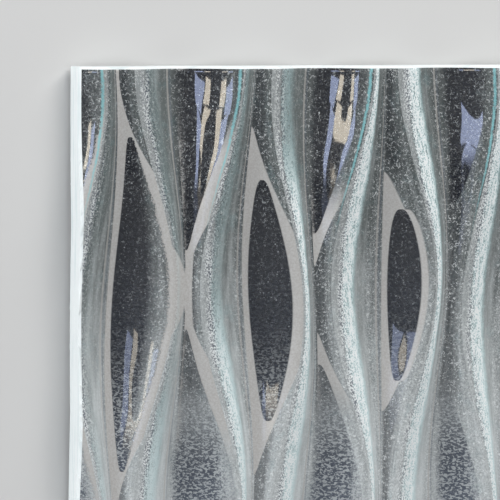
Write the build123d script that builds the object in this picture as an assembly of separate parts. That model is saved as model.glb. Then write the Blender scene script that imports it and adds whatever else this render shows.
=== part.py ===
"""Kiln-cast glass panel: one thick sheet whose front is hollowed into staggered lens-shaped valleys.

The sheet lies on its underside: +X across, +Y along, +Z up through the thickness.
The origin is at the middle of the underside, on the level of the flats that it rests on.
"""
from build123d import *
import math
import os

os.makedirs("parts", exist_ok=True)

# Overall sheet, millimetres
PANEL_WIDTH = 500.0
PANEL_LENGTH = 600.0
CREST_HEIGHT = 25.0

# Ridges run along the sheet and swing from side to side, each against its neighbours
RIDGE_PITCH = 50.0
FIRST_RIDGE = 4.0
RIDGE_SWING = 15.0
SWING_PERIOD = 313.0
WIDEST_BELOW_TOP = 5.0

# Section of the valley between two ridges
VALLEY_DEPTH = 17.0
NARROWS_SHARE = 0.12
CREST_SHARPNESS = 0.35

# The underside repeats the front's waves, much shallower, and rests on flats cut off its keels
KEEL_HEIGHT = 6.0
FLAT_SHARE = 0.35

# Hand-made unevenness from ridge to ridge: of the swing, and of its place along the sheet
SWING_UNEVENNESS = 0.12
PLACE_UNEVENNESS = 14.0
UNEVEN_STEP = 2.1

# Sampling: straight strips across a valley, smooth along the sheet from section to section
FRONT_STRIPS = 8
SECTION_SPACING = 34.0
TRIM_MARGIN = 20.0


def ridge_place(ridge, y):
    """Distance of a ridge from the left edge at y, both measured from the lower left corner."""
    uneven = -math.cos(UNEVEN_STEP * ridge)
    along = PANEL_LENGTH - y - WIDEST_BELOW_TOP + PLACE_UNEVENNESS * uneven
    swing = RIDGE_SWING * (1 + SWING_UNEVENNESS * uneven) * math.cos(2 * math.pi * along / SWING_PERIOD)
    side = 1 if ridge % 2 == 0 else -1
    return FIRST_RIDGE + ridge * RIDGE_PITCH + side * swing


def valley_depth(left, right):
    """Depth below the crests in the middle of a valley: full in a lens, least in the narrows."""
    most_swing = RIDGE_SWING * (1 + SWING_UNEVENNESS)
    opened = 0.5 + (right - left - RIDGE_PITCH) / (4 * most_swing)
    return VALLEY_DEPTH * (NARROWS_SHARE + (1 - NARROWS_SHARE) * opened)


def front_row(left, right):
    """Points of the front from one ridge to the next, as (distance across, height)."""
    depth = valley_depth(left, right)
    row = []
    for strip in range(FRONT_STRIPS + 1):
        share = strip / FRONT_STRIPS
        bowl = math.sin(math.pi * share)
        profile = CREST_SHARPNESS * bowl + (1 - CREST_SHARPNESS) * bowl**2
        row.append((left + (right - left) * share, CREST_HEIGHT - depth * profile))
    return row


def underside_row(left, right):
    """The same for the underside: a keel, which reaches below the ground until it is cut off flat."""
    root = KEEL_HEIGHT * (1 - FLAT_SHARE)
    keel = KEEL_HEIGHT * valley_depth(left, right) / VALLEY_DEPTH
    return [(left, root), ((left + right) / 2, root - keel), (right, root)]


def cross_section(y, ridges):
    """Closed outline of the untrimmed sheet at y, valley after valley."""
    upper = []
    lower = []
    for ridge in ridges:
        left, right = ridge_place(ridge, y), ridge_place(ridge + 1, y)
        upper += front_row(left, right)[:-1]
        lower += underside_row(left, right)[:-1]
    end = ridge_place(ridges[-1] + 1, y)
    upper.append((end, CREST_HEIGHT))
    lower.append((end, lower[0][1]))
    outline = lower + upper[::-1]
    corners = [(x - PANEL_WIDTH / 2, y - PANEL_LENGTH / 2, z) for x, z in outline]
    return Wire.make_polygon(corners)


def cast_sheet():
    """The sheet with its waves, lofted past its edges and then trimmed to size."""
    first = math.floor(-(FIRST_RIDGE + RIDGE_SWING) / RIDGE_PITCH) - 1
    last = math.ceil((PANEL_WIDTH - FIRST_RIDGE + RIDGE_SWING) / RIDGE_PITCH)
    gaps = round((PANEL_LENGTH + 2 * TRIM_MARGIN) / SECTION_SPACING)
    spacing = (PANEL_LENGTH + 2 * TRIM_MARGIN) / gaps
    sections = [cross_section(gap * spacing - TRIM_MARGIN, range(first, last)) for gap in range(gaps + 1)]
    rough = Solid.make_loft(sections)
    trim = Box(PANEL_WIDTH, PANEL_LENGTH, 2 * CREST_HEIGHT, align=(Align.CENTER, Align.CENTER, Align.MIN))
    return rough & trim


panel = cast_sheet()
panel.label = "glass_panel"
export_step(panel, "parts/glass_panel.step")
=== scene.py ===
"""Looks of the kiln-cast glass panel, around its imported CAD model.

The panel lies on the floor with its carved front up: +X across, +Y towards its top edge.
"""
import math

import bmesh
import bpy
from bpy.props import FloatProperty, FloatVectorProperty, IntProperty, PointerProperty
from mathutils import Matrix, Vector, noise


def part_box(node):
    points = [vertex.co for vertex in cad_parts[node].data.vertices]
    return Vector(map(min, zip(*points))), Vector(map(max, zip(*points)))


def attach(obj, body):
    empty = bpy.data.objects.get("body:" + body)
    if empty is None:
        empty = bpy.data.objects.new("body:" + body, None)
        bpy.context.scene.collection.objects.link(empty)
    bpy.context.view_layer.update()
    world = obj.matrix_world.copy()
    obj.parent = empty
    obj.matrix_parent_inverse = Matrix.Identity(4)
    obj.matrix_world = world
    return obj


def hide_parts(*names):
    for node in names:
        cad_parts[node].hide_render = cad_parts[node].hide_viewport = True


bl_info = {
    "name": "Kiln-cast glass panel",
    "version": (1, 0, 0),
    "blender": (4, 5, 0),
    "location": "View3D > Sidebar > Glass panel",
    "description": "Builds a cast glass panel with staggered lens-shaped valleys, and a plain stage",
    "category": "Object",
}

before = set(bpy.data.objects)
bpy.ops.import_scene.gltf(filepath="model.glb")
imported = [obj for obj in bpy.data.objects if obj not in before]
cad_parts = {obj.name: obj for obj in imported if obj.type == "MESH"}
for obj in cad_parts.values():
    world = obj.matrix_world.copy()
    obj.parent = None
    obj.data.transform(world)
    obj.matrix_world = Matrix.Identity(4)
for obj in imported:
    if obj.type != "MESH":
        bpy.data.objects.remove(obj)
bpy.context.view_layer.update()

NODE = "glass_panel"
LOWEST, HIGHEST = (Vector(corner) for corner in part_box(NODE))
WIDTH, LENGTH = (HIGHEST - LOWEST).xy

# Names of what the sheet's mesh carries: for the front's material, and to tell the underside while it is made
VALLEY_MAP = "valley"
RIDGE_COUNT = "ridge_count"
UNDERSIDE_MARK = "under"

# Order of the sheet's materials
FRONT, UNDERSIDE, EDGE = range(3)

# Distance within which a vertex counts as lying on a plane, and the tilt past which a face counts as upright
TOUCH = 1e-5
UPRIGHT = 0.9

# The first valley cuts the left edge. From the last counted one on, valleys are painted alike
FIRST_VALLEY = -1
LAST_COUNTED = 5.0

# Ripples of the front per metre
RIPPLES_ACROSS = 105.0
RIPPLES_ALONG = 24.0

GLASS_IOR = 1.5

# Stage: the floor lies just under the flats of the underside, with clouds a little darker than its colour
FLOOR_REACH = 8.0
FLOOR_GAP = 0.0005
FLOOR_SHADE = 0.94

# Lamps as (name, location, size of the level side and of the other, power, colour), all aimed at LIT_PLACE
LIT_PLACE = Vector((-0.10, 0.15, 0.015))  # on the corner that the camera shows
CREAM = (1.0, 0.90, 0.74)
BLUE = (0.58, 0.68, 1.0)
LAMPS = (
    ("key", (0.75, 2.0, 1.35), (1.4, 1.4), 50.0, (1.0, 0.99, 0.97)),
    ("side", (-2.4, 0.1, 0.55), (1.0, 0.8), 30.0, (0.97, 0.99, 1.0)),
    ("window_cream_0", (-1.74, 0.49, 2.55), (0.28, 0.20), 2.1, CREAM),
    ("window_blue_0", (-1.37, 0.49, 2.55), (0.28, 0.36), 2.9, BLUE),
    ("window_cream_1", (-1.74, 0.80, 2.55), (0.28, 0.20), 2.1, CREAM),
    ("window_blue_1", (-1.37, 0.80, 2.55), (0.28, 0.36), 2.9, BLUE),
)

# Camera: the panel's top left corner lies at this pixel of a square image
IMAGE_SIZE = 500
CORNER_PIXEL = (69.5, 66.0)
SENSOR_WIDTH = 36.0
CLIP_END = 50.0


class PanelShape(bpy.types.PropertyGroup):
    ridge_pitch: FloatProperty(
        name="Ridge pitch", description="Mean distance between ridges", default=0.050, unit="LENGTH")
    first_ridge: FloatProperty(
        name="First ridge", description="Mean distance of the first ridge from the left edge",
        default=0.004, unit="LENGTH")
    ridge_swing: FloatProperty(
        name="Ridge swing", description="How far a ridge swings to each side", default=0.015, unit="LENGTH")
    swing_period: FloatProperty(
        name="Swing period", description="Length of one swing along the sheet", default=0.313, unit="LENGTH")
    widest_below_top: FloatProperty(
        name="Widest below top", description="Place of the first widest lens below the top edge",
        default=0.005, unit="LENGTH")
    valley_depth: FloatProperty(
        name="Valley depth", description="Depth of a lens below the crests", default=0.017, unit="LENGTH")
    narrows_share: FloatProperty(
        name="Narrows share", description="Depth left in the narrows, as a share of the lens's",
        default=0.12, subtype="FACTOR")
    crest_sharpness: FloatProperty(
        name="Crest sharpness", description="0 for round crests, 1 for keen ones",
        default=0.35, subtype="FACTOR")
    keel_height: FloatProperty(
        name="Keel height", description="Height of the underside's waves before their flats are cut",
        default=0.006, unit="LENGTH")
    flat_share: FloatProperty(
        name="Flat share", description="Share of the keels that is cut off flat",
        default=0.35, subtype="FACTOR")
    swing_unevenness: FloatProperty(
        name="Swing unevenness", description="Difference in swing from ridge to ridge",
        default=0.12, subtype="FACTOR")
    place_unevenness: FloatProperty(
        name="Place unevenness", description="Difference in place along the sheet from ridge to ridge",
        default=0.014, unit="LENGTH")
    uneven_step: FloatProperty(
        name="Uneven step", description="Angle from one ridge's unevenness to the next", default=2.1)
    across: IntProperty(
        name="Steps across", description="Mesh steps across one valley", default=26)
    along: IntProperty(
        name="Steps along", description="Mesh steps along the sheet", default=140)
    arris: FloatProperty(
        name="Arris", description="Width of the ground arris along the cut edges",
        default=0.0018, unit="LENGTH")
    ripple: FloatProperty(
        name="Ripple", description="Most that the fire-polished front sinks below its drawn shape",
        default=0.00060, unit="LENGTH")


class PanelColours(bpy.types.PropertyGroup):
    # The lenses are clear glass: their colours are painted darkness of a dark backdrop seen through them,
    # paler lower down where it was lighter
    lens_painted_dark: FloatVectorProperty(
        name="Lens, deep", description="Clear glass in the lenses, near the top", subtype="COLOR", size=3,
        default=(0.002, 0.004, 0.009))
    lens_painted_pale: FloatVectorProperty(
        name="Lens, pale", description="Clear glass in the lenses, lower down", subtype="COLOR", size=3,
        default=(0.105, 0.124, 0.158))
    # The rim's colour is a painted pale reflection of the surroundings, seen around each lens
    rim: FloatVectorProperty(
        name="Painted rim", description="Smooth rim around a lens", subtype="COLOR", size=3,
        default=(0.465, 0.450, 0.430))
    # The flanks' tones are partly their grain and partly painted light and shade: dark where a dark backdrop
    # shows through, pale where light was scattered
    flank_dark: FloatVectorProperty(
        name="Flank, dark", description="Grained flank, dark parts", subtype="COLOR", size=3,
        default=(0.145, 0.163, 0.160))
    flank_pale: FloatVectorProperty(
        name="Flank, pale", description="Grained flank, pale parts", subtype="COLOR", size=3,
        default=(0.660, 0.700, 0.705))
    # Painted highlights: the bright streak beside a crest, also used for glints on worm marks and torn bits
    streak_highlight: FloatVectorProperty(
        name="Streak", description="Bright streak beside a crest", subtype="COLOR", size=3,
        default=(0.960, 1.000, 1.000))
    halo: FloatVectorProperty(
        name="Halo", description="Green-blue light beside a streak", subtype="COLOR", size=3,
        default=(0.600, 0.840, 0.860))
    teal: FloatVectorProperty(
        name="Teal", description="Green-blue of the thick glass", subtype="COLOR", size=3,
        default=(0.240, 0.440, 0.470))
    # Painted highlight along a crest
    crest: FloatVectorProperty(
        name="Crest", description="Bright green-blue line along a crest", subtype="COLOR", size=3,
        default=(0.260, 0.600, 0.640))
    edge: FloatVectorProperty(
        name="Cut edge", description="Ground cut edges", subtype="COLOR", size=3,
        default=(0.880, 0.920, 0.920))


class StageSettings(bpy.types.PropertyGroup):
    floor: FloatVectorProperty(
        name="Floor", description="Colour of the floor", subtype="COLOR", size=3, default=(0.62, 0.62, 0.61))
    surroundings: FloatVectorProperty(
        name="Surroundings", description="Colour of the light all round", subtype="COLOR", size=3,
        default=(0.38, 0.385, 0.395))
    camera_side: FloatProperty(
        name="Camera side", description="Angle of the camera to the left of the panel's normal",
        default=math.radians(23.5), subtype="ANGLE")
    camera_above: FloatProperty(
        name="Camera above", description="Angle of the camera towards the panel's top edge",
        default=math.radians(4.2), subtype="ANGLE")
    camera_roll: FloatProperty(
        name="Camera roll", description="Turn of the camera about its line of sight",
        default=math.radians(0.5), subtype="ANGLE")
    lens: FloatProperty(name="Lens", description="Focal length in millimetres", default=300.0)
    pixels_per_metre: FloatProperty(
        name="Image scale", description="Pixels of a 500 pixel image per metre at the panel", default=1455.0)


def group_tree(name, inputs, outputs):
    """A new shader node group. Inputs come with their default, or None for a vector; outputs are values."""
    tree = bpy.data.node_groups.new(name, "ShaderNodeTree")
    for label, default in inputs.items():
        kind = "NodeSocketVector" if default is None else "NodeSocketFloat"
        socket = tree.interface.new_socket(label, in_out="INPUT", socket_type=kind)
        if default is not None:
            socket.default_value = default
    for label in outputs:
        tree.interface.new_socket(label, in_out="OUTPUT", socket_type="NodeSocketFloat")
    return tree


class Net:
    """Short ways to place and join the nodes of one tree."""

    def __init__(self, tree):
        self.tree = tree

    def node(self, kind, **settings):
        made = self.tree.nodes.new(kind)
        for key, value in settings.items():
            setattr(made, key, value)
        return made

    def feed(self, socket, value):
        if isinstance(value, bpy.types.NodeSocket):
            self.tree.links.new(value, socket)
        else:
            socket.default_value = value

    def math(self, operation, *values, clamp=False):
        made = self.node("ShaderNodeMath", operation=operation, use_clamp=clamp)
        for socket, value in zip(made.inputs, values):
            self.feed(socket, value)
        return made.outputs[0]

    def plus(self, first, second):
        return self.math("ADD", first, second)

    def minus(self, first, second):
        return self.math("SUBTRACT", first, second)

    def times(self, first, second, clamp=False):
        return self.math("MULTIPLY", first, second, clamp=clamp)

    def line(self, value, slope, start, clamp=False):
        """start + slope * value"""
        return self.math("MULTIPLY_ADD", value, slope, start, clamp=clamp)

    def step(self, value, low, high, to_low=0.0, to_high=1.0):
        """A smooth step of value from low to high."""
        made = self.node("ShaderNodeMapRange", interpolation_type="SMOOTHSTEP")
        for socket, item in zip(made.inputs, (value, low, high, to_low, to_high)):
            self.feed(socket, item)
        return made.outputs[0]

    def past(self, value, limit, soft):
        """1 past a limit and 0 before it, with a soft passage. A negative softness swaps the sides."""
        return self.step(value, self.minus(limit, soft), self.plus(limit, soft))

    def between(self, value, outer_low, low, high, outer_high):
        """1 from low to high, falling to 0 at the outer limits."""
        return self.times(self.step(value, outer_low, low), self.step(value, outer_high, high))

    def near(self, value, middle, far, close):
        """1 where a value is close to the middle, falling to 0 where it is far from it."""
        return self.step(self.math("ABSOLUTE", self.minus(value, middle)), far, close)

    def mix(self, share, first, second):
        made = self.node("ShaderNodeMix", data_type="RGBA")
        self.feed(made.inputs[0], share)
        for socket, value in ((made.inputs[6], first), (made.inputs[7], second)):
            self.feed(socket, value if isinstance(value, bpy.types.NodeSocket) else (*value, 1.0))
        return made.outputs[2]

    def noise(self, vector, scale, detail=2.0, roughness=0.5, distortion=0.0):
        made = self.node("ShaderNodeTexNoise")
        self.feed(made.inputs["Vector"], vector)
        made.inputs["Scale"].default_value = scale
        made.inputs["Detail"].default_value = detail
        made.inputs["Roughness"].default_value = roughness
        made.inputs["Distortion"].default_value = distortion
        return made.outputs[0]

    def stretch(self, vector, scale, shift=(0.0, 0.0, 0.0)):
        made = self.node("ShaderNodeMapping")
        self.feed(made.inputs["Vector"], vector)
        made.inputs["Scale"].default_value = scale
        made.inputs["Location"].default_value = shift
        return made.outputs[0]

    def parts(self, vector):
        """The three numbers of a vector."""
        made = self.node("ShaderNodeSeparateXYZ")
        self.feed(made.inputs[0], vector)
        return made.outputs

    def object_place(self):
        return self.node("ShaderNodeTexCoord").outputs["Object"]

    def group(self, tree, **values):
        made = self.node("ShaderNodeGroup", node_tree=tree)
        for label, value in values.items():
            self.feed(made.inputs[label], value)
        return made.outputs


def grain_group():
    """Grain of the glass's mould side: its height, mottle, worm-like marks, seeds and hard-edged bits."""
    tree = group_tree(
        "Glass grain", {"Vector": None, "Size": 0.0016}, ("Height", "Mottle", "Worms", "Seeds", "Bits"))
    net = Net(tree)
    given = net.node("NodeGroupInput").outputs
    result = net.node("NodeGroupOutput").inputs
    scaled = net.node("ShaderNodeVectorMath", operation="SCALE")
    net.feed(scaled.inputs[0], given["Vector"])
    net.feed(scaled.inputs["Scale"], net.math("DIVIDE", 1.0, given["Size"]))
    place = scaled.outputs[0]
    fine = net.noise(place, 0.9, detail=3.0, roughness=0.6, distortion=0.4)
    coarse = net.noise(place, 0.22, detail=1.0)
    net.feed(result["Height"], net.line(coarse, 0.6, fine))
    net.feed(result["Mottle"], net.step(fine, 0.34, 0.66))
    net.feed(result["Bits"], net.step(fine, 0.47, 0.53))

    # Worms are the lines where a noise passes its middle, kept where a second noise is high
    wandering = net.noise(place, 0.42, detail=1.0, distortion=1.0)
    elsewhere = net.stretch(place, (1.0, 1.0, 1.0), shift=(31.0, 17.0, 5.0))
    kept = net.step(net.noise(elsewhere, 0.5, detail=1.0), 0.47, 0.56)
    net.feed(result["Worms"], net.times(net.near(wandering, 0.5, 0.045, 0.012), kept))

    # Seeds are dots of uneven size in somewhat less than half of the cells
    cells = net.node("ShaderNodeTexVoronoi", feature="F1")
    net.feed(cells.inputs["Vector"], place)
    cells.inputs["Scale"].default_value = 0.42
    drawn = net.node("ShaderNodeSeparateColor")
    net.feed(drawn.inputs[0], cells.outputs["Color"])
    size = net.line(drawn.outputs[1], 0.16, 0.06)
    dot = net.step(net.math("DIVIDE", cells.outputs["Distance"], size), 1.25, 0.75)
    net.feed(result["Seeds"], net.times(dot, net.math("GREATER_THAN", drawn.outputs[0], 0.55)))
    return tree


class ValleyNet(Net):
    """Finds the painted parts of a valley, most of them painted light and shade.

    Across is the share of the way from its left ridge to its right one, Opened goes from 0 in the narrows to
    1 in a full lens, and Below is the distance below the top edge. Waver makes the outlines uneven.
    """

    # Where a lens starts, as a share opened, and its sides, as shares across. Each is a value in valley 0 and
    # the change from valley to valley, and the second one is what even or odd valleys add
    TIP, EVEN_TIP = (0.02, 0.075), (0.19, 0.0425)
    LEFT, ODD_LEFT = (0.47, 0.036), (-0.03, -0.014)
    RIGHT, ODD_RIGHT = (0.95, -0.015), (0.045, 0.0)

    # How bluntly outlines end at their tips: less is blunter
    LENS_ROUNDING = 0.36
    RIM_ROUNDING = 0.55

    # Shares across: the rim's width on a lens's two sides, its end just past the ridge, and where rims cross
    RIM_LEFT = 0.044
    RIM_RIGHT = 0.055
    PAST_RIDGE = 1.012
    CROSSING = 0.42

    # Shares across: the crest's line, and how far the floor's two lines lie left of the lens
    CREST_LINE = 0.975
    PALE_LINE = 0.095
    DARK_LINE = 0.070

    def __init__(self, tree):
        super().__init__(tree)
        given = self.node("NodeGroupInput").outputs
        self.result = self.node("NodeGroupOutput").inputs
        self.across, self.opened, self.below = given["Across"], given["Opened"], given["Below"]
        self.valley = given["Valley"]
        self.waver = self.minus(given["Waver"], 0.5)
        self.count = self.math("MINIMUM", self.math("MAXIMUM", self.valley, 0.0), LAST_COUNTED)
        self.squared = self.times(self.count, self.count)

        # Two are added because the remainder of a negative number would be negative
        self.odd = self.math("MODULO", self.plus(self.valley, 2.0), 2.0)
        self.even = self.minus(1.0, self.odd)

    def by_count(self, first, change):
        """A value that is first in valley 0 and changes from valley to valley."""
        return self.line(self.count, change, first)

    def draw_lens(self):
        """Even valleys hold a lens about their middle, odd ones a lens that keeps a straight left side. The
        lens is painted dark, as a dark backdrop seen through clear glass.
        """
        tip = self.plus(self.by_count(*self.TIP), self.times(self.even, self.by_count(*self.EVEN_TIP)))
        leans = self.times(self.even, self.math("GREATER_THAN", self.count, 3.0))
        self.tip = self.line(leans, self.step(self.below, 0.08, 0.24, 0.06, -0.10), tip)
        self.left = self.plus(self.by_count(*self.LEFT), self.times(self.odd, self.by_count(*self.ODD_LEFT)))
        right = self.plus(self.by_count(*self.RIGHT), self.times(self.odd, self.by_count(*self.ODD_RIGHT)))

        # Towards a tip it narrows, from both sides in the even valleys and from the right in the odd ones
        beyond_tip = self.minus(self.opened, self.tip)
        past_tip = self.math("DIVIDE", beyond_tip, self.minus(1.0, self.tip), clamp=True)
        grown = self.math("POWER", past_tip, self.LENS_ROUNDING)
        spare = self.times(self.minus(1.0, grown), self.minus(right, self.left))
        lens_left = self.line(self.times(self.even, 0.5), spare, self.left)
        self.lens_right = self.minus(right, self.times(spare, self.line(self.even, -0.5, 1.0)))

        fray = self.times(self.waver, self.times(self.step(self.count, 1.5, 0.2), 0.10))
        self.ragged = self.line(self.times(self.waver, self.odd), 0.20, self.across)
        past_left = self.past(self.ragged, lens_left, self.line(self.odd, 0.06, 0.006))
        before_right = self.past(self.across, self.plus(self.lens_right, fray), -0.008)
        self.there = self.step(past_tip, 0.0, 0.004)
        self.lens = self.times(self.there, self.times(past_left, before_right))
        self.feed(self.result["Lens"], self.lens)

        open_enough = self.step(self.line(self.count, -0.05, self.opened), 0.34, 0.48)
        clear = self.times(open_enough, self.step(self.below, 0.12, 0.20, 1.0, 0.4))
        self.feed(self.result["Mirror"], self.times(self.lens, clear))

    def draw_rim(self):
        """The rim, a painted pale reflection, lies outside the lens: narrow on the left of an even one, out
        to the ridge on the right.
        """
        apex = self.times(self.tip, self.line(self.squared, 0.0225, 0.30))
        reach = self.line(self.tip, 1.1, 0.1)
        grown = self.math("DIVIDE", self.minus(self.opened, apex), reach, clamp=True)
        spread = self.math("POWER", grown, self.RIM_ROUNDING)
        outer_left = self.line(self.even, -self.RIM_LEFT, self.left)
        outer_right = self.line(spread, self.minus(self.PAST_RIDGE, outer_left), outer_left)
        around_lens = self.times(self.there, self.plus(self.lens_right, self.RIM_RIGHT))
        outer_right = self.math("MAXIMUM", outer_right, around_lens)
        past_left = self.past(self.across, outer_left, 0.006)
        before_right = self.past(self.across, outer_right, -0.010)
        around = self.times(self.times(past_left, before_right), self.minus(1.0, self.lens))

        # Beside the odd lenses it fades where they open, sooner from valley to valley
        fades_from = self.by_count(0.78, -0.16)
        fading = self.times(self.odd, self.step(self.opened, fades_from, self.plus(fades_from, 0.28)))
        rim = self.times(around, self.minus(1.0, fading))

        # In the narrows of the first odd valley its neighbours' rims cross, with a notch above and below
        notch = self.line(self.math("ABSOLUTE", self.minus(self.across, self.CROSSING)), 0.18, 0.042)
        crossing = self.step(self.minus(self.opened, notch), 0.006, -0.006)
        right_side = self.line(self.opened, 0.4, 0.70)
        crossing = self.times(crossing, self.step(self.minus(self.across, right_side), 0.03, -0.03))
        first_odd = self.math("COMPARE", self.valley, 1.0, 0.5)
        self.rim = self.math("MAXIMUM", rim, self.times(crossing, first_odd))
        self.feed(self.result["Painted rim"], self.rim)

    def draw_band(self):
        """Beside the left crest lie frosted glass, a torn line of painted glints and painted dark, and a
        bright band of painted highlight, stronger to the right.
        """
        centre = self.line(self.opened, 0.03, 0.15)
        width = self.line(self.times(self.opened, self.minus(1.0, self.opened)), 0.26, 0.115)
        offset = self.math("DIVIDE", self.minus(self.across, centre), width)
        offset = self.line(self.waver, 0.6, offset)
        strength = self.line(self.count, 0.20, 0.32, clamp=True)
        starts = self.line(self.squared, -0.02, 0.22)
        gain = self.step(self.below, starts, self.plus(starts, 0.08), 0.36, 1.0)
        band = self.between(offset, -0.60, -0.35, 0.25, 1.15)
        self.feed(self.result["Highlight band"], self.times(band, self.times(strength, gain)))
        torn = self.near(offset, -0.55, 0.50, 0.12)
        self.feed(self.result["Torn"], self.times(torn, self.step(self.opened, 0.08, 0.45, 0.25, 1.0)))
        self.feed(self.result["Frost"], self.step(offset, -0.4, -0.7))

    def draw_lines(self):
        """A painted highlight on the crest right of the odd lenses, narrow floors painted dark, and two thin
        lines on a floor, one painted pale and one painted dark.
        """
        crest = self.near(self.across, self.line(self.waver, 0.03, self.CREST_LINE), 0.020, 0.003)
        crest = self.times(crest, self.step(self.below, 0.13, 0.05))
        self.feed(self.result["Crest"], self.times(crest, self.odd))

        floor = self.between(self.across, self.minus(self.left, 0.06), self.left, 0.72, 0.93)
        self.feed(self.result["Strip"], self.times(floor, self.step(self.opened, 0.65, 0.35)))

        pale = self.near(self.across, self.minus(self.left, self.PALE_LINE), 0.014, 0.004)
        dark = self.near(self.across, self.minus(self.left, self.DARK_LINE), 0.014, 0.004)
        self.feed(self.result["Line"], self.minus(pale, dark))

    def draw_haze(self):
        """Haze on the right side of the first lens and the odd ones, and calm glass beside the streak."""
        first = self.times(self.step(self.across, 0.75, 0.88), self.step(self.count, 1.9, 0.0))
        beside_crest = self.times(self.step(self.ragged, 0.80, 0.92), 0.8)
        haze = self.plus(self.times(self.even, first), self.times(self.odd, beside_crest))
        second_row = self.times(self.odd, self.between(self.below, 0.15, 0.16, 0.215, 0.285))
        self.feed(self.result["Haze"], self.math("MAXIMUM", haze, second_row))
        calm = self.between(self.across, 0.14, 0.24, 0.37, 0.45)
        self.feed(self.result["Calm"], self.math("MAXIMUM", self.times(calm, 0.8), self.rim))


def valley_group():
    """Where the parts of a valley lie, by the share across it and by how far it is opened."""
    tree = group_tree(
        "Valley parts",
        {"Across": 0.0, "Opened": 0.0, "Valley": 0.0, "Below": 0.0, "Waver": 0.5},
        ("Lens", "Painted rim", "Highlight band", "Torn", "Frost", "Strip", "Crest", "Line", "Haze", "Calm", "Mirror"))
    net = ValleyNet(tree)
    net.draw_lens()
    net.draw_rim()
    net.draw_band()
    net.draw_lines()
    net.draw_haze()
    return tree


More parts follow.
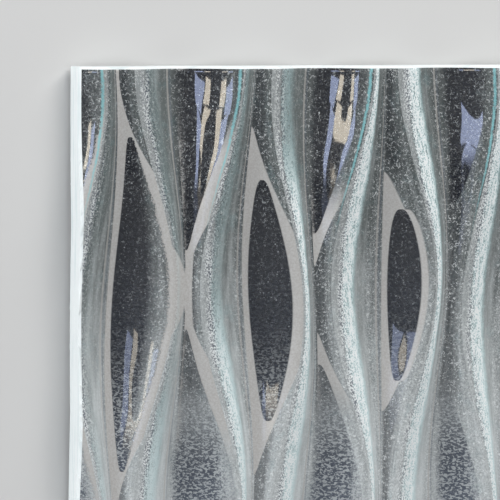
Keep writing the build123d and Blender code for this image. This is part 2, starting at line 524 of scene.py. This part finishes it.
class FrontNet(Net):
    """The net of the front's material, with the noises and masks that its colours share."""

    def __init__(self, tree, colours, grain, valley_parts):
        super().__init__(tree)
        self.colours = colours
        self.place = self.object_place()
        self.below = self.minus(HIGHEST.y, self.parts(self.place)[1])
        shares = self.parts(self.node("ShaderNodeUVMap", uv_map=VALLEY_MAP).outputs[0])
        count = self.node("ShaderNodeAttribute", attribute_name=RIDGE_COUNT).outputs["Fac"]

        # Drawn-out marks follow the ridges, so they are laid out by ridge count and place along the sheet
        along_ridges = self.node("ShaderNodeCombineXYZ")
        self.feed(along_ridges.inputs[0], count)
        self.feed(along_ridges.inputs[1], self.below)
        self.along_ridges = along_ridges.outputs[0]
        self.streaky = self.marks(per_ridge=15.0, per_metre=24.0, detail=4.0, roughness=0.6)
        self.waver = self.marks(per_ridge=5.0, per_metre=60.0, detail=4.0, roughness=0.65)
        self.wisps = self.marks(per_ridge=34.0, per_metre=110.0, detail=3.0, roughness=0.65)

        self.specks = self.group(grain, Vector=self.place, Size=0.0011)
        fray = self.line(self.specks["Mottle"], 0.3, self.times(self.waver, 0.7))
        self.found = self.group(
            valley_parts, Across=shares[0], Opened=shares[1], Valley=self.math("FLOOR", count),
            Below=self.below, Waver=fray)
        self.grained = self.minus(1.0, self.times(self.found["Calm"], 0.85))

    def marks(self, per_ridge, per_metre, detail, roughness):
        """A noise that is drawn out along the ridges."""
        place = self.stretch(self.along_ridges, (per_ridge, per_metre, 1.0))
        return self.noise(place, 1.0, detail=detail, roughness=roughness)

    def flank(self):
        """Flanks: grey-green, mottled by the grain behind them, with painted light and shade: paler lower
        down where a lighter backdrop showed through.
        """
        colours, specks, found = self.colours, self.specks, self.found
        lower = self.step(self.below, 0.05, 0.31)
        tone = self.line(self.minus(self.streaky, 0.5), 1.3, self.line(lower, 0.86, 0.02), clamp=True)
        flank = self.mix(tone, colours.flank_dark, colours.flank_pale)
        flank = self.mix(self.times(self.step(self.waver, 0.5, 0.75), 0.2), flank, colours.teal)
        # The grain's flecks and the narrow floors are painted dark, as a dark backdrop seen through the
        # glass; worm marks are painted as bright glints
        mottle = self.times(self.minus(1.0, specks["Mottle"]), self.grained)
        flank = self.mix(self.times(mottle, self.line(lower, -0.25, 0.55)), flank, colours.lens_painted_dark)
        flank = self.mix(self.times(found["Frost"], 0.35), flank, colours.flank_pale)
        flank = self.mix(self.times(found["Strip"], 0.6), flank, colours.lens_painted_dark)
        worms = self.times(specks["Worms"], self.grained)
        return self.mix(self.times(worms, 0.5), flank, colours.streak_highlight)

    def lens(self, flank):
        """Lenses: clear glass painted dark as a dark backdrop seen through it, paler lower down; ripples
        lower down, seeds and a few worms are painted pale, as glints.
        """
        colours, specks = self.colours, self.specks
        deep_down = self.step(self.below, 0.16, 0.35)
        halfway_down = self.step(self.below, 0.08, 0.20, 0.0, 0.14)
        lens = self.mix(self.math("MAXIMUM", deep_down, halfway_down), colours.lens_painted_dark, colours.lens_painted_pale)
        ripples = self.noise(self.stretch(self.place, (430.0, 700.0, 1.0)), 1.0, distortion=0.8)
        rippled = self.times(self.step(ripples, 0.49, 0.57), self.step(self.below, 0.17, 0.27, 0.03, 0.55))
        lens = self.mix(rippled, lens, colours.flank_pale)
        sparks = self.math("MAXIMUM", specks["Seeds"], self.times(specks["Worms"], 0.55))
        clusters = self.step(self.streaky, 0.38, 0.60, 0.25, 0.85)
        clusters = self.times(clusters, self.step(self.below, 0.07, 0.14, 1.0, 0.4))
        lens = self.mix(self.times(sparks, clusters), lens, colours.flank_pale)
        return self.mix(self.times(self.found["Haze"], 0.85), lens, flank)

    def add_lines(self, colour):
        """The thin lines on the floor, painted light and dark, the rim's painted pale reflection and the
        painted highlight along the crest.
        """
        colours, found = self.colours, self.found
        colour = self.mix(self.times(found["Line"], 0.6, clamp=True), colour, colours.rim)
        colour = self.mix(self.times(found["Line"], -0.35, clamp=True), colour, colours.lens_painted_pale)
        rim = self.mix(self.times(self.specks["Mottle"], 0.22), colours.rim, colours.edge)
        colour = self.mix(self.times(found["Painted rim"], 0.95), colour, rim)
        crest = self.times(found["Crest"], self.step(self.wisps, 0.30, 0.50, 0.2, 0.8))
        return self.mix(crest, colour, colours.crest)

    def add_band(self, colour):
        """The crinkled band of painted highlight, from green-blue to white; bits of painted dark and painted
        white glints tear its left side.
        """
        colours, found = self.colours, self.found
        crinkled = self.line(self.specks["Mottle"], 0.30, self.wisps)
        bright = self.times(self.step(found["Highlight band"], 0.25, 0.85), self.step(crinkled, 0.52, 0.70, 0.05, 1.0))
        drawn = self.mix(bright, colours.halo, colours.streak_highlight)
        shown = self.times(self.step(found["Highlight band"], 0.0, 0.85), self.step(crinkled, 0.40, 0.66, 0.30, 1.0))
        colour = self.mix(shown, colour, drawn)
        bits = self.mix(self.specks["Bits"], colours.lens_painted_pale, colours.streak_highlight)
        torn = self.times(found["Torn"], self.step(self.streaky, 0.40, 0.60, 0.1, 0.75))
        return self.mix(torn, colour, bits)


def empty_material(name):
    """A new material, with its node tree and its shader."""
    material = bpy.data.materials.new(name)
    material.use_nodes = True
    return material, material.node_tree, material.node_tree.nodes["Principled BSDF"]


def set_glass(net, shader, colour, height, strength, relief, roughness, transmission):
    """Join a glass's colour, grain and roughness to its shader; relief is the grain's depth in metres."""
    bump = net.node("ShaderNodeBump")
    bump.inputs["Strength"].default_value = strength
    bump.inputs["Distance"].default_value = relief
    net.feed(bump.inputs["Height"], height)
    net.feed(shader.inputs["Base Color"], colour)
    net.feed(shader.inputs["Normal"], bump.outputs[0])
    net.feed(shader.inputs["Roughness"], roughness)
    shader.inputs["Transmission Weight"].default_value = transmission
    shader.inputs["IOR"].default_value = GLASS_IOR


def front_material(colours, grain, valley_parts):
    """Fire-polished cast glass, with light and shade painted into its colour: a dark backdrop seen through
    its lenses, pale reflections and highlights.
    """
    material, tree, shader = empty_material("cast_glass_front")
    net = FrontNet(tree, colours, grain, valley_parts)
    found = net.found
    flank = net.flank()
    colour = net.mix(found["Lens"], flank, net.lens(flank))
    colour = net.add_band(net.add_lines(colour))
    set_glass(
        net, shader, colour, height=net.times(net.specks["Height"], net.grained), strength=0.8, relief=0.0007,
        roughness=net.line(found["Calm"], 0.10, 0.16), transmission=0.15)
    shader.inputs["Specular IOR Level"].default_value = 0.25
    net.feed(shader.inputs["Coat Weight"], net.line(found["Mirror"], 0.9, 0.1))
    shader.inputs["Coat Roughness"].default_value = 0.03
    shader.inputs["Coat IOR"].default_value = GLASS_IOR
    return material


def underside_material(colours, grain):
    """The mould side: the same glass, grained all over."""
    material, tree, shader = empty_material("cast_glass_underside")
    net = Net(tree)
    place = net.object_place()
    specks = net.group(grain, Vector=place, Size=0.0018)
    broad = net.step(net.noise(place, 22.0, detail=3.0), 0.35, 0.65)
    colour = net.mix(broad, colours.flank_pale, colours.edge)
    colour = net.mix(net.times(specks["Mottle"], 0.3), colour, colours.flank_dark)
    set_glass(
        net, shader, colour, height=specks["Height"], strength=0.6, relief=0.0005,
        roughness=net.line(specks["Mottle"], 0.2, 0.3), transmission=0.35)
    return material


def edge_material(colours, grain):
    """Ground cut edge: white and matt, with the glass's green-blue showing faintly."""
    material, tree, shader = empty_material("ground_edge")
    net = Net(tree)
    place = net.object_place()
    specks = net.group(grain, Vector=place, Size=0.0007)
    drawn = net.noise(net.stretch(place, (30.0, 30.0, 500.0)), 1.0)
    colour = net.mix(net.step(drawn, 0.4, 0.75, 0.0, 0.22), colours.edge, colours.teal)
    colour = net.mix(net.times(specks["Mottle"], 0.12), colour, colours.flank_pale)
    set_glass(
        net, shader, colour, height=specks["Height"], strength=0.3, relief=0.0002,
        roughness=net.line(specks["Mottle"], 0.15, 0.45), transmission=0.1)
    return material


def floor_material(pale):
    """A matt floor with faint clouds."""
    material, tree, shader = empty_material("pale_floor")
    net = Net(tree)
    cloud = net.noise(net.object_place(), 3.0)
    darker = tuple(FLOOR_SHADE * value for value in pale)
    net.feed(shader.inputs["Base Color"], net.mix(cloud, pale, darker))
    shader.inputs["Roughness"].default_value = 0.7
    shader.inputs["Specular IOR Level"].default_value = 0.2
    return material


def ridge_place(shape, ridge, y):
    """X of a ridge at y, in the panel's own frame."""
    uneven = -math.cos(shape.uneven_step * ridge)
    along = HIGHEST.y - y - shape.widest_below_top + shape.place_unevenness * uneven
    swing = shape.ridge_swing * (1 + shape.swing_unevenness * uneven)
    side = 1 if ridge % 2 == 0 else -1
    turn = 2 * math.pi * along / shape.swing_period
    return LOWEST.x + shape.first_ridge + ridge * shape.ridge_pitch + side * swing * math.cos(turn)


def valley_sides(shape, ridge, y):
    """X of the ridges left and right of a valley, and how far it is opened, from 0 to 1."""
    left = ridge_place(shape, ridge, y)
    right = ridge_place(shape, ridge + 1, y)

    # The valley is at most two swings wider than the pitch, and two narrower
    most_swing = shape.ridge_swing * (1 + shape.swing_unevenness)
    opened = 0.5 + (right - left - shape.ridge_pitch) / (4 * most_swing)
    return left, right, opened


def valley_section(shape, opened, share):
    """Heights of the front and the underside at a share of the way across a valley."""
    relief = shape.narrows_share + (1 - shape.narrows_share) * opened
    bowl = math.sin(math.pi * share)
    profile = shape.crest_sharpness * bowl + (1 - shape.crest_sharpness) * bowl**2
    front = HIGHEST.z - shape.valley_depth * relief * profile
    root = shape.keel_height * (1 - shape.flat_share)
    keel = shape.keel_height * relief * (1 - abs(2 * share - 1))
    return front, LOWEST.z + max(0.0, root - keel)


def ripple_at(shape, place):
    """How far the fire-polished front sinks below its drawn shape."""
    drawn = noise.noise(Vector((RIPPLES_ACROSS * place.x, RIPPLES_ALONG * place.y, 0.0)))
    return shape.ripple * (1 + drawn) / 2


def is_under(vert, under):
    """Whether a vertex is marked as one of the underside."""
    return vert[under] > 0.5


def waved_sheet(shape):
    """The sheet's closed mesh: a grid that follows the ridges, extruded down to the underside and trimmed."""
    last = math.ceil((WIDTH - shape.first_ridge + shape.ridge_swing) / shape.ridge_pitch)
    steps = (last - FIRST_VALLEY) * shape.across
    mesh = bmesh.new()
    bmesh.ops.create_grid(mesh, x_segments=steps, y_segments=shape.along, size=0.5)
    count = mesh.verts.layers.float.new(RIDGE_COUNT)
    under = mesh.verts.layers.float.new(UNDERSIDE_MARK)
    sheet_map = mesh.loops.layers.uv.new(VALLEY_MAP)

    # The grid starts one unit wide and long, about its middle
    for vert in mesh.verts:
        vert[count] = round((vert.co.x + 0.5) * steps) / shape.across + FIRST_VALLEY
        vert.co.y *= LENGTH
    made = bmesh.ops.extrude_face_region(mesh, geom=mesh.faces[:] + mesh.edges[:] + mesh.verts[:])
    for item in made["geom"]:
        if isinstance(item, bmesh.types.BMVert):
            item[under] = 1.0

    for vert in mesh.verts:
        ridge = min(math.floor(vert[count]), last - 1)
        share = vert[count] - ridge
        left, right, opened = valley_sides(shape, ridge, vert.co.y)
        front, underside = valley_section(shape, opened, share)
        vert.co.x = left + (right - left) * share
        vert.co.z = underside if is_under(vert, under) else front - ripple_at(shape, vert.co)
    for face in mesh.faces:
        ridge = math.floor(sum(vert[count] for vert in face.verts) / len(face.verts))
        for loop in face.loops:
            opened = valley_sides(shape, ridge, loop.vert.co.y)[2]
            loop[sheet_map].uv = (loop.vert[count] - ridge, opened)

    trim_sides(mesh)
    grind_arris(shape, mesh, under)
    bmesh.ops.recalc_face_normals(mesh, faces=mesh.faces)
    return mesh


def trim_sides(mesh):
    """Cut the sheet to its width, and close the two cuts."""
    for side, reach in ((-1, LOWEST.x), (1, HIGHEST.x)):
        cut = bmesh.ops.bisect_plane(
            mesh, geom=mesh.verts[:] + mesh.edges[:] + mesh.faces[:], plane_co=(reach, 0, 0),
            plane_no=(side, 0, 0), clear_outer=True)
        rim = [item for item in cut["geom_cut"] if isinstance(item, bmesh.types.BMEdge)]
        bmesh.ops.edgeloop_fill(mesh, edges=rim)


def beyond(vert, margin):
    """Whether a vertex lies less than a margin from one of the cut edges."""
    return abs(vert.co.x) > WIDTH / 2 - margin or abs(vert.co.y) > LENGTH / 2 - margin


def grind_arris(shape, mesh, under):
    """Cut a line just inside the four edges, and take the corner beyond it down."""
    for axis, reach in ((Vector((1, 0, 0)), WIDTH / 2), (Vector((0, 1, 0)), LENGTH / 2)):
        for side in (-1, 1):
            bmesh.ops.bisect_plane(
                mesh, geom=mesh.verts[:] + mesh.edges[:] + mesh.faces[:],
                plane_co=axis * side * (reach - shape.arris), plane_no=axis)
    for vert in mesh.verts:
        if beyond(vert, TOUCH):
            vert.co.z += shape.arris / 2 if is_under(vert, under) else -shape.arris


def is_ground(shape, face):
    """Whether a face belongs to a cut edge or its arris."""
    upright = max(abs(face.normal.x), abs(face.normal.y)) > UPRIGHT
    return upright or all(beyond(vert, shape.arris + TOUCH) for vert in face.verts)


class OBJECT_OT_glass_panel(bpy.types.Operator):
    """Build the glass panel in place of its plain CAD solid"""

    bl_idname = "object.glass_panel"
    bl_label = "Glass panel"

    def execute(self, context):
        shape = context.scene.panel_shape
        colours = context.scene.panel_colours
        mesh = waved_sheet(shape)
        for face in mesh.faces:
            ground = is_ground(shape, face)
            face.smooth = not ground
            if ground:
                face.material_index = EDGE
            elif face.normal.z < 0:
                face.material_index = UNDERSIDE
            else:
                face.material_index = FRONT
        data = bpy.data.meshes.new("glass_sheet")
        mesh.to_mesh(data)
        mesh.free()
        grain = grain_group()
        data.materials.append(front_material(colours, grain, valley_group()))
        data.materials.append(underside_material(colours, grain))
        data.materials.append(edge_material(colours, grain))
        sheet = bpy.data.objects.new("glass_sheet", data)
        context.scene.collection.objects.link(sheet)
        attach(sheet, "root")
        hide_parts(NODE)
        return {"FINISHED"}


def lay_floor(scene, stage):
    """A flat floor, far wider than the panel."""
    mesh = bmesh.new()
    bmesh.ops.create_grid(mesh, x_segments=2, y_segments=2, size=FLOOR_REACH)
    bmesh.ops.translate(mesh, verts=mesh.verts, vec=(0, 0, LOWEST.z - FLOOR_GAP))
    data = bpy.data.meshes.new("floor")
    mesh.to_mesh(data)
    mesh.free()
    data.materials.append(floor_material(stage.floor))
    floor = bpy.data.objects.new("floor", data)
    scene.collection.objects.link(floor)


def light_scene(scene, stage):
    """An even light all round, and the area lamps."""
    world = bpy.data.worlds.new("soft_studio")
    world.use_nodes = True
    world.node_tree.nodes["Background"].inputs["Color"].default_value = (*stage.surroundings, 1.0)
    scene.world = world
    for name, location, size, power, colour in LAMPS:
        light = bpy.data.lights.new(name, "AREA")
        light.shape = "RECTANGLE"
        light.size, light.size_y = size
        light.energy = power
        light.color = colour
        lamp = bpy.data.objects.new(name, light)
        lamp.location = location
        lamp.rotation_euler = (lamp.location - LIT_PLACE).to_track_quat("Z", "Y").to_euler()
        scene.collection.objects.link(lamp)


def view_axes(stage):
    """Camera's right, up and backward directions in the panel's frame."""
    side, above = stage.camera_side, stage.camera_above
    back = Vector((-math.sin(side) * math.cos(above), math.sin(above), math.cos(side) * math.cos(above)))
    right = Vector((math.cos(side), 0.0, math.sin(side)))
    right = (right - back * right.dot(back)).normalized()
    right = Matrix.Rotation(stage.camera_roll, 3, back) @ right
    return right, back.cross(right), back


def place_camera(scene, stage):
    """A camera that shows the panel's top left corner at its pixel, at the image's scale."""
    camera = bpy.data.cameras.new("camera")
    camera.lens = stage.lens
    camera.sensor_width = SENSOR_WIDTH
    camera.clip_end = CLIP_END
    view = bpy.data.objects.new("camera", camera)
    scene.collection.objects.link(view)
    scene.camera = view

    right, up, back = view_axes(stage)
    scale = stage.pixels_per_metre
    to_right, to_below = (IMAGE_SIZE / 2 - pixel for pixel in CORNER_PIXEL)
    corner = Vector((LOWEST.x, HIGHEST.y, LOWEST.z))
    middle = corner + right * to_right / scale - up * to_below / scale
    place = middle + back * (IMAGE_SIZE / scale) * stage.lens / SENSOR_WIDTH
    turn = Matrix((right, up, back)).transposed()
    view.matrix_world = Matrix.Translation(place) @ turn.to_4x4()


class OBJECT_OT_glass_stage(bpy.types.Operator):
    """Lay out the floor, the light and the camera"""

    bl_idname = "object.glass_stage"
    bl_label = "Stage"

    def execute(self, context):
        scene = context.scene
        stage = scene.panel_stage
        lay_floor(scene, stage)
        light_scene(scene, stage)
        place_camera(scene, stage)
        scene.view_settings.view_transform = "Standard"
        return {"FINISHED"}


class VIEW3D_PT_glass_panel(bpy.types.Panel):
    bl_label = "Glass panel"
    bl_idname = "VIEW3D_PT_glass_panel"
    bl_space_type = "VIEW_3D"
    bl_region_type = "UI"
    bl_category = "Glass panel"

    def draw(self, context):
        layout = self.layout
        for owner in (context.scene.panel_shape, context.scene.panel_colours, context.scene.panel_stage):
            for name in owner.__annotations__:
                layout.prop(owner, name)
        layout.operator(OBJECT_OT_glass_panel.bl_idname)
        layout.operator(OBJECT_OT_glass_stage.bl_idname)


CLASSES = (
    PanelShape, PanelColours, StageSettings, OBJECT_OT_glass_panel, OBJECT_OT_glass_stage,
    VIEW3D_PT_glass_panel)


def register():
    for item in CLASSES:
        bpy.utils.register_class(item)
    bpy.types.Scene.panel_shape = PointerProperty(type=PanelShape)
    bpy.types.Scene.panel_colours = PointerProperty(type=PanelColours)
    bpy.types.Scene.panel_stage = PointerProperty(type=StageSettings)


def unregister():
    del bpy.types.Scene.panel_stage
    del bpy.types.Scene.panel_colours
    del bpy.types.Scene.panel_shape
    for item in reversed(CLASSES):
        bpy.utils.unregister_class(item)


def main():
    register()
    bpy.ops.object.glass_stage()
    bpy.ops.object.glass_panel()


if __name__ == "__main__":
    main()
